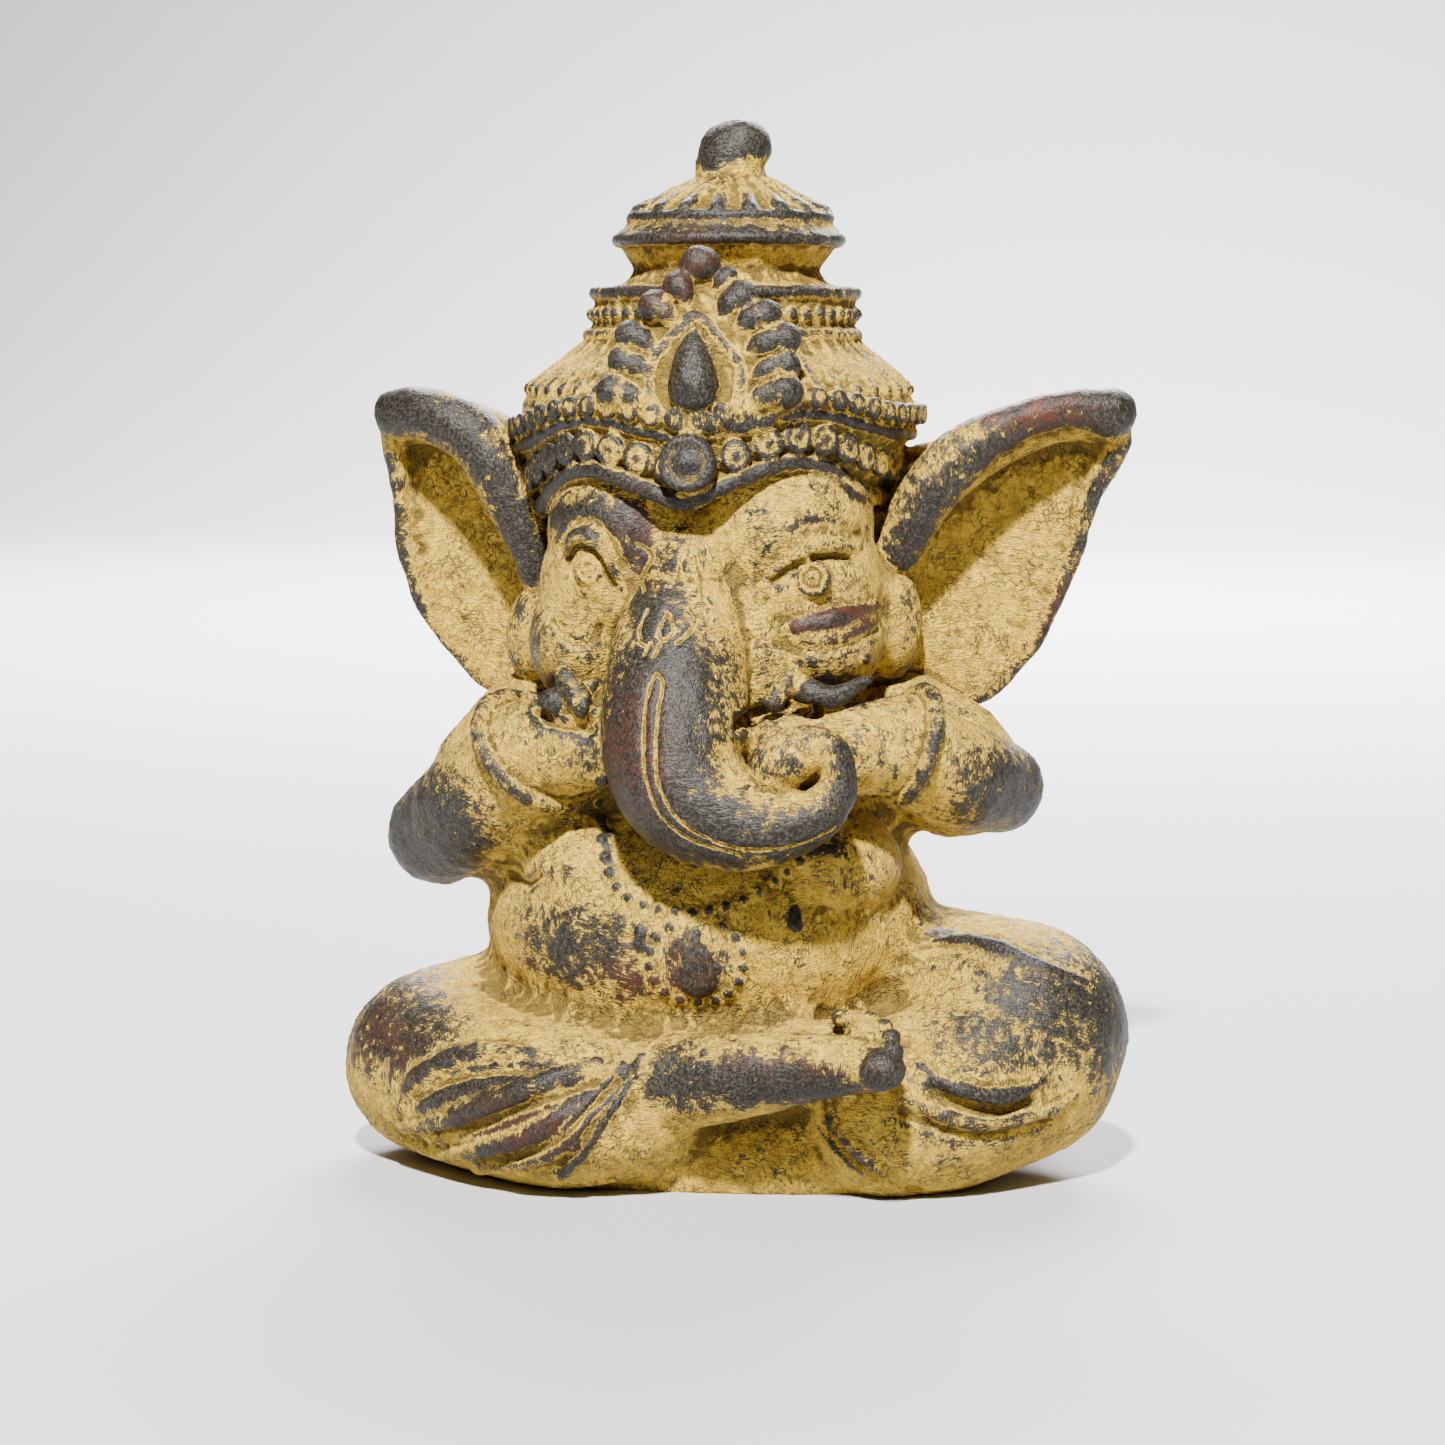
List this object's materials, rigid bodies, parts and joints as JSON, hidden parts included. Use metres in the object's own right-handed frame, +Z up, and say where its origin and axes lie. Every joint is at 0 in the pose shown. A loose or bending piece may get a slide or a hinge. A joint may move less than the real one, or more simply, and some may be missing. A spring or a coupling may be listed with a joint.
{
  "type": "baby ganesha statue",
  "caption": "Seated baby elephant-headed deity with tiered crown, fanned ears and curling trunk, hands raised to the mouth, legs crossed, cast in one piece.",
  "frame": {"origin": "centre of the underside's bounding rectangle, on the surface the statue stands on", "axes": "+Z up through the crown, -Y towards the viewer the figure faces, +X towards the side its trunk curls to"},
  "size_m": [0.2266, 0.1608, 0.2999],
  "materials": {
    "cast_stone": "dark casting with a brushed ochre wash, rubbed back to a soft dark sheen on the high points"
  },
  "bodies": {
    "root": {"ganesha_statue": "cast_stone"}
  },
  "joints": []
}
